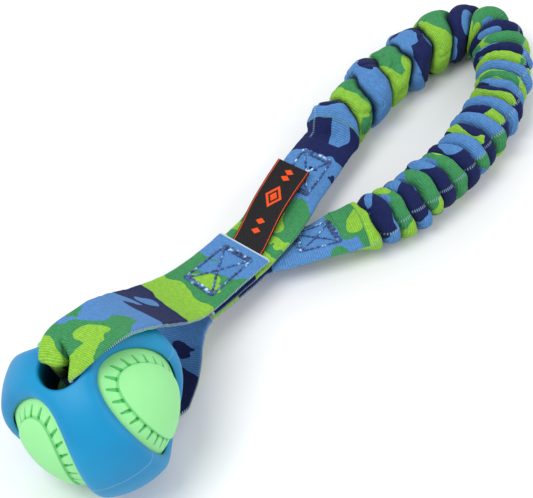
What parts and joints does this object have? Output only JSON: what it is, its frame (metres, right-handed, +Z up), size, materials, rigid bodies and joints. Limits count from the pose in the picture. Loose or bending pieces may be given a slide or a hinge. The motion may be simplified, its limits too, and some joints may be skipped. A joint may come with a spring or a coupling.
{
  "type": "bungee tug toy",
  "caption": "Dog tug toy: rubber ball with windows on a webbing strap, with a gathered bungee sleeve forming a hand loop.",
  "frame": {"origin": "middle of the toy's footprint, on the surface it lies on", "axes": "+X from the ball towards the far end of the hand loop, +Z up"},
  "size_m": [0.3067, 0.0809, 0.0767],
  "materials": {
    "shell_rubber": "satin moulded rubber, bright blue",
    "core_rubber": "satin moulded rubber, mint green",
    "webbing": "ribbed tubular webbing printed in navy, green, lime and light blue blotches",
    "gathered_webbing": "the same webbing, opened out and gathered in folds",
    "elastic": "off-white braided elastic",
    "label_satin": "black woven satin with plain orange marks",
    "thread": "blue polyester sewing thread"
  },
  "bodies": {
    "root": {"strap_front_leg": "webbing", "strap_bore_run": "webbing", "strap_rear_leg": "webbing", "label_sewn_end": "label_satin", "join_stitch_needle_thread": "thread", "join_stitch_bobbin_thread": "thread"},
    "ball": {"ball_shell": "shell_rubber", "ball_core": "core_rubber"},
    "handle": {"strap_front_tail": "webbing", "strap_rear_tail": "webbing", "sleeve_front_strand": "gathered_webbing", "sleeve_rear_strand": "gathered_webbing", "elastic_front_strand": "elastic", "elastic_rear_strand": "elastic", "front_core_stitch_needle_thread": "thread", "front_core_stitch_bobbin_thread": "thread", "rear_core_stitch_needle_thread": "thread", "rear_core_stitch_bobbin_thread": "thread"},
    "grip": {"sleeve_bend": "gathered_webbing", "elastic_bend": "elastic"},
    "label": {"label_flap": "label_satin"}
  },
  "joints": [
    {"name": "ball_spin", "type": "hinge", "parent": "root", "child": "ball", "pos_m": [-0.12265, 0.00565, 0.035], "axis": [-0.3601, 0.1701, 0.9173], "continuous": true},
    {"name": "handle_fold", "type": "hinge", "parent": "root", "child": "handle", "pos_m": [-0.01525, 0.01275, 0.0156], "axis": [-0.1392, -0.9903, 0], "range_deg": [-90, 90], "deforming": ["strap_front_tail", "strap_rear_tail"]},
    {"name": "handle_stretch", "type": "slide", "parent": "handle", "child": "grip", "axis": [1, 0, 0], "range_m": [0, 0.09], "stiffness_N_per_m": 150, "deforming": ["sleeve_front_strand", "sleeve_rear_strand", "elastic_front_strand", "elastic_rear_strand"]},
    {"name": "label_flip", "type": "hinge", "parent": "handle", "child": "label", "pos_m": [-0.01425, 0.01305, 0.0159], "axis": [-0.1392, -0.9903, 0], "range_deg": [0, 32], "stiffness_Nm_per_rad": 0.002}
  ]
}
